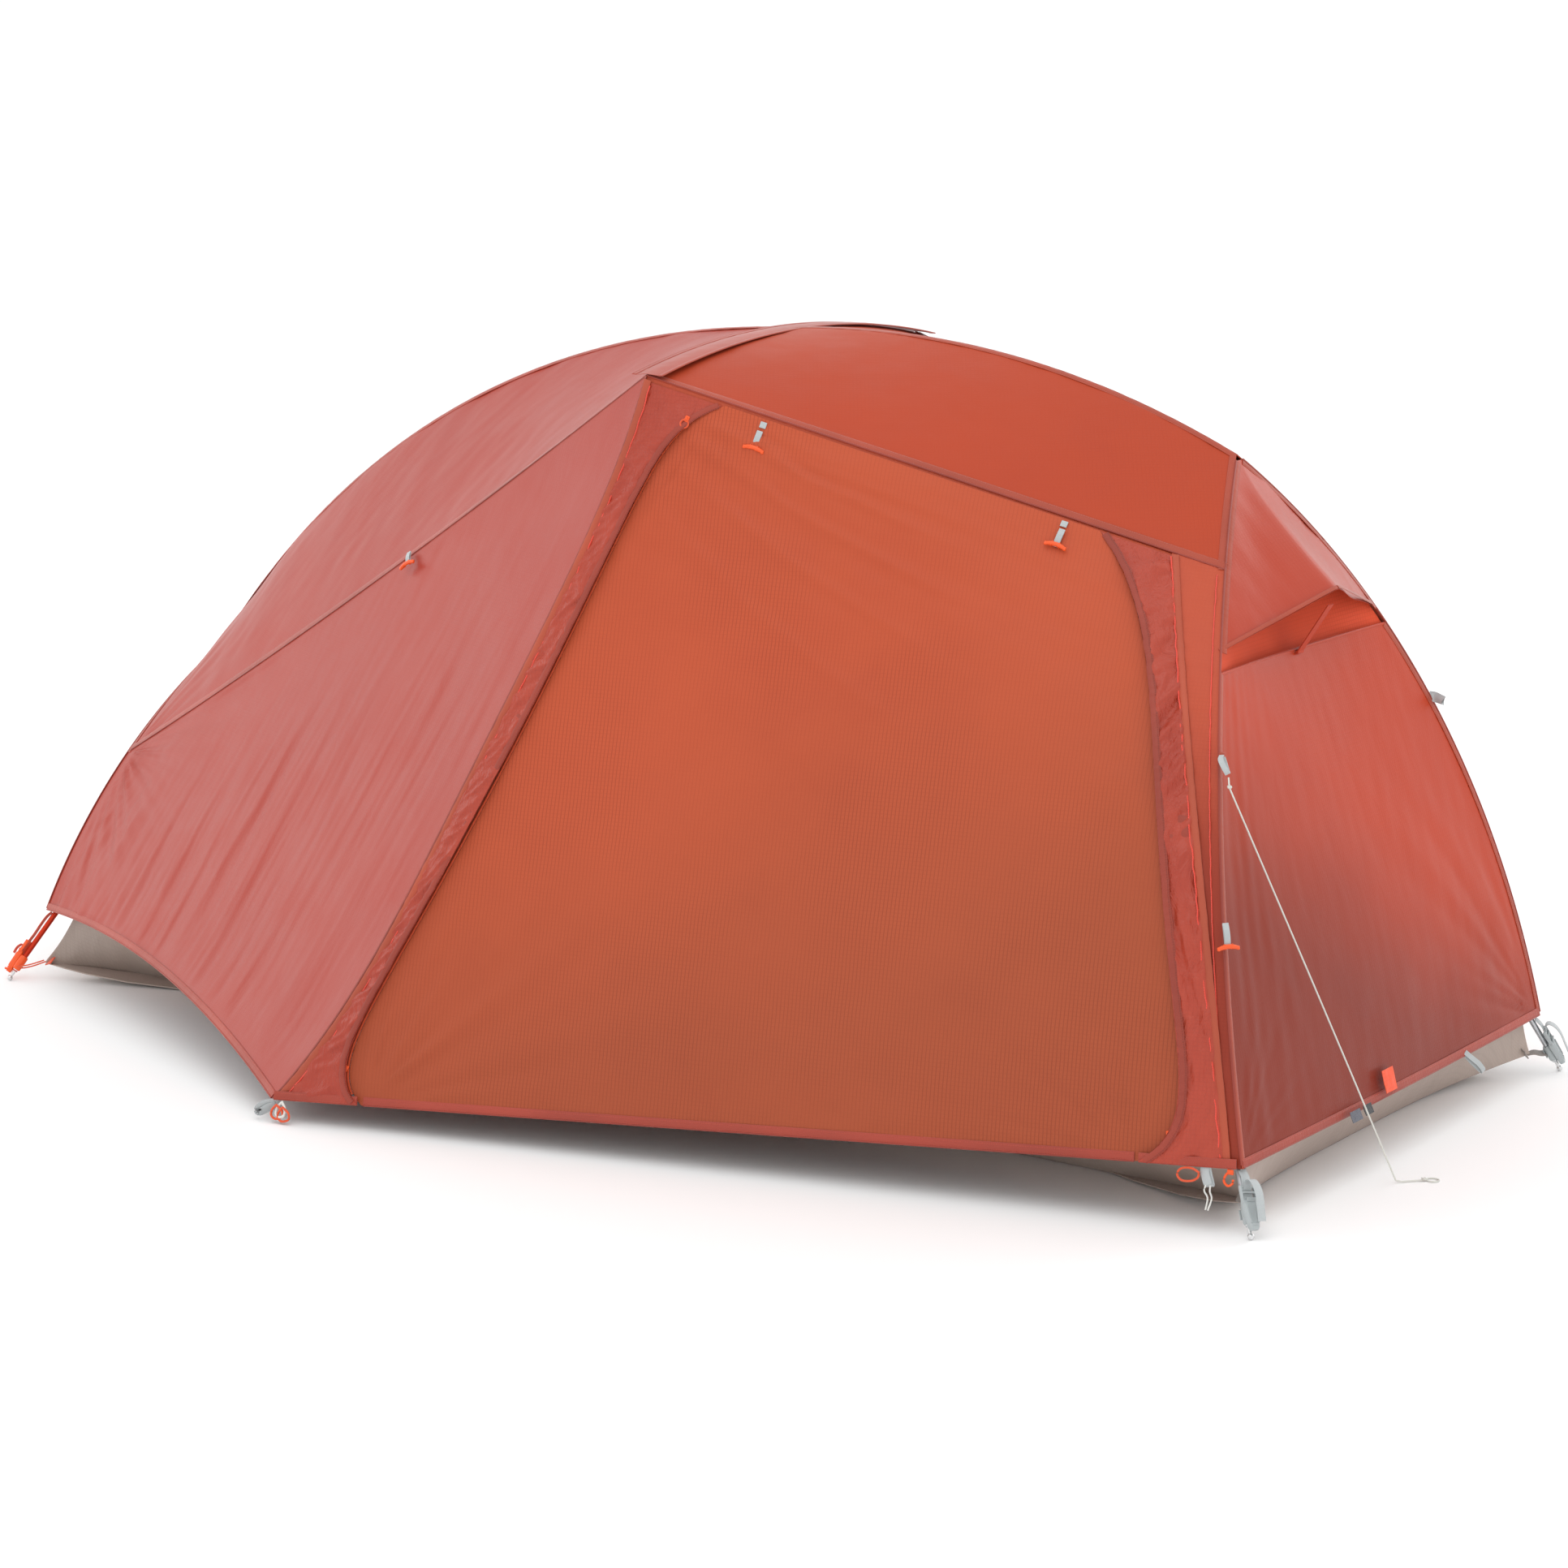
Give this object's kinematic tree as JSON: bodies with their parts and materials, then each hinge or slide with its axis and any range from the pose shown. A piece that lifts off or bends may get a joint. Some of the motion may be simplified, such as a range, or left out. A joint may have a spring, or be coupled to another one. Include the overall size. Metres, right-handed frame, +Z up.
{
  "type": "one-person tent",
  "caption": "One-person double-wall tent: hubbed ridge pole with brow pole, inner tent with tub floor, and fly with a zipped side vestibule, vent hood and corner buckles.",
  "frame": {"origin": "centre of the floor's underside, on the ground, midway between the head and foot pole tips", "axes": "+X towards the head end along the tent's length, -Y towards the door and vestibule, +Z up"},
  "size_m": [2.3954, 1.3173, 1.0966],
  "materials": {
    "fly_orange": "silicone coated ripstop nylon, silky sheen",
    "fly_pink": "silicone coated ripstop nylon, silky sheen",
    "flap_fabric": "double layer nylon storm flap",
    "zip_tape": "woven zip tape with coil",
    "floor_fabric": "coated nylon, taupe",
    "canopy_fabric": "light nylon and mesh",
    "pole_grey": "anodised silver",
    "pole_red": "anodised red",
    "hub_plastic": "moulded nylon",
    "pin_steel": "turned pin",
    "tip_metal": "machined tips",
    "elastic": "braided elastic cord",
    "pull_orange": "moulded bright orange",
    "webbing_grey": "woven webbing, light grey",
    "buckle_grey": "moulded acetal, light grey",
    "buckle_orange": "moulded acetal, orange",
    "guy_cord": "braided cord",
    "patch_orange": "bonded patch",
    "label_dark": "blank woven label"
  },
  "bodies": {
    "tent": {"ridge_pole": "pole_red", "head_legs": "pole_grey", "foot_legs": "pole_red", "brow_pole": "pole_grey", "shock_cord": "elastic", "pole_ferrules": "pole_grey", "head_hub": "hub_plastic", "foot_hub": "hub_plastic", "swivel_hub": "hub_plastic", "swivel_pin": "pin_steel", "pole_tips": "tip_metal", "brow_tips": "tip_metal", "pole_clips": "hub_plastic", "tub_floor": "floor_fabric", "tub_walls": "floor_fabric", "canopy_roof": "canopy_fabric", "canopy_near": "canopy_fabric", "canopy_far": "canopy_fabric", "canopy_head": "canopy_fabric", "canopy_foot": "canopy_fabric", "fly_brow_band": "fly_orange", "fly_roof_foot_near": "fly_pink", "fly_roof_foot_far": "fly_pink", "fly_roof_head_near": "fly_orange", "fly_roof_head_far": "fly_orange", "fly_side_foot_near": "fly_pink", "fly_side_foot_far": "fly_pink", "fly_side_head_far": "fly_orange", "fly_head_wall": "fly_orange", "fly_vent_hood": "fly_orange", "fly_foot_wall": "fly_pink", "fly_head_strip": "fly_orange", "flap_left": "flap_fabric", "flap_right": "flap_fabric", "zip_left": "zip_tape", "zip_right": "zip_tape", "tieout_loops": "webbing_grey", "guy_line": "guy_cord", "tip_buckles": "buckle_grey", "fly_straps": "webbing_grey", "floor_straps": "webbing_grey", "stake_tab": "webbing_grey", "stake_loops": "webbing_grey", "hem_patch": "patch_orange", "hem_labels": "label_dark"},
    "door": {"door_panel": "fly_orange"},
    "slider_top": {"zip_slider_top": "pull_orange"},
    "slider_left": {"zip_slider_left": "pull_orange"},
    "slider_right": {"zip_slider_right": "pull_orange"},
    "toggle_el": {"toggle_eave_left": "pull_orange"},
    "toggle_er": {"toggle_eave_right": "pull_orange"},
    "toggle_side": {"toggle_foot": "pull_orange"},
    "toggle_head": {"toggle_leg": "pull_orange"},
    "prop": {"vent_prop": "hub_plastic"},
    "lock_a": {"ladder_lock_a": "buckle_grey"},
    "lock_b": {"ladder_lock_b": "buckle_grey"},
    "lock_c": {"ladder_lock_c": "buckle_orange"},
    "lock_d": {"ladder_lock_d": "buckle_orange"},
    "inner_flap": {"inner_door": "canopy_fabric"}
  },
  "joints": [
    {"name": "door_lift", "type": "hinge", "parent": "tent", "child": "door", "pos_m": [0.104, -0.366, 1.054], "axis": [-0.9313, -0.2446, 0.2701], "range_deg": [0, 70]},
    {"name": "zip_top_travel", "type": "slide", "parent": "door", "child": "slider_top", "axis": [-0.2947, -0.3686, -0.8816], "range_m": [0, 0.45]},
    {"name": "zip_left_travel", "type": "slide", "parent": "door", "child": "slider_left", "axis": [0.3049, 0.3438, 0.8882], "range_m": [0, 0.4]},
    {"name": "zip_right_travel", "type": "hinge", "parent": "door", "child": "slider_right", "pos_m": [0.30435, 0.91957, -0.23345], "axis": [-0.8791, -0.4671, -0.095], "range_deg": [0, 25.1]},
    {"name": "toggle_eave_left_swing", "type": "hinge", "parent": "door", "child": "toggle_el", "pos_m": [0.27526, -0.33278, 0.98387], "axis": [-0.938, -0.2347, 0.255], "range_deg": [0, 100]},
    {"name": "toggle_eave_right_swing", "type": "hinge", "parent": "door", "child": "toggle_er", "pos_m": [0.70253, -0.22459, 0.86647], "axis": [-0.9385, -0.235, 0.253], "range_deg": [0, 100]},
    {"name": "toggle_foot_swing", "type": "hinge", "parent": "tent", "child": "toggle_side", "pos_m": [-0.38116, -0.3014, 0.75425], "axis": [-0.8865, 0.0703, -0.4573], "range_deg": [0, 100]},
    {"name": "toggle_leg_swing", "type": "hinge", "parent": "tent", "child": "toggle_head", "pos_m": [1.06739, -0.41828, 0.39815], "axis": [-0.5832, -0.8123, 0], "range_deg": [0, 100]},
    {"name": "vent_prop_fold", "type": "hinge", "parent": "tent", "child": "prop", "pos_m": [0.956, 0, 0.688], "axis": [0, 1, 0], "range_deg": [0, 75]},
    {"name": "lock_a_travel", "type": "slide", "parent": "tent", "child": "lock_a", "axis": [-0.4007, 0.3373, 0.8518], "range_m": [-0.004, 0.014]},
    {"name": "lock_b_travel", "type": "slide", "parent": "tent", "child": "lock_b", "axis": [-0.4007, -0.3373, 0.8518], "range_m": [-0.004, 0.014]},
    {"name": "lock_c_travel", "type": "slide", "parent": "tent", "child": "lock_c", "axis": [0.3183, 0.5412, 0.7783], "range_m": [-0.004, 0.014]},
    {"name": "lock_d_travel", "type": "slide", "parent": "tent", "child": "lock_d", "axis": [0.3183, -0.5412, 0.7783], "range_m": [-0.004, 0.014]},
    {"name": "inner_door_swing", "type": "hinge", "parent": "tent", "child": "inner_flap", "pos_m": [0.16237, -0.34941, 0.54652], "axis": [0.0236, 0.0886, 0.9958], "range_deg": [0, 35]}
  ]
}
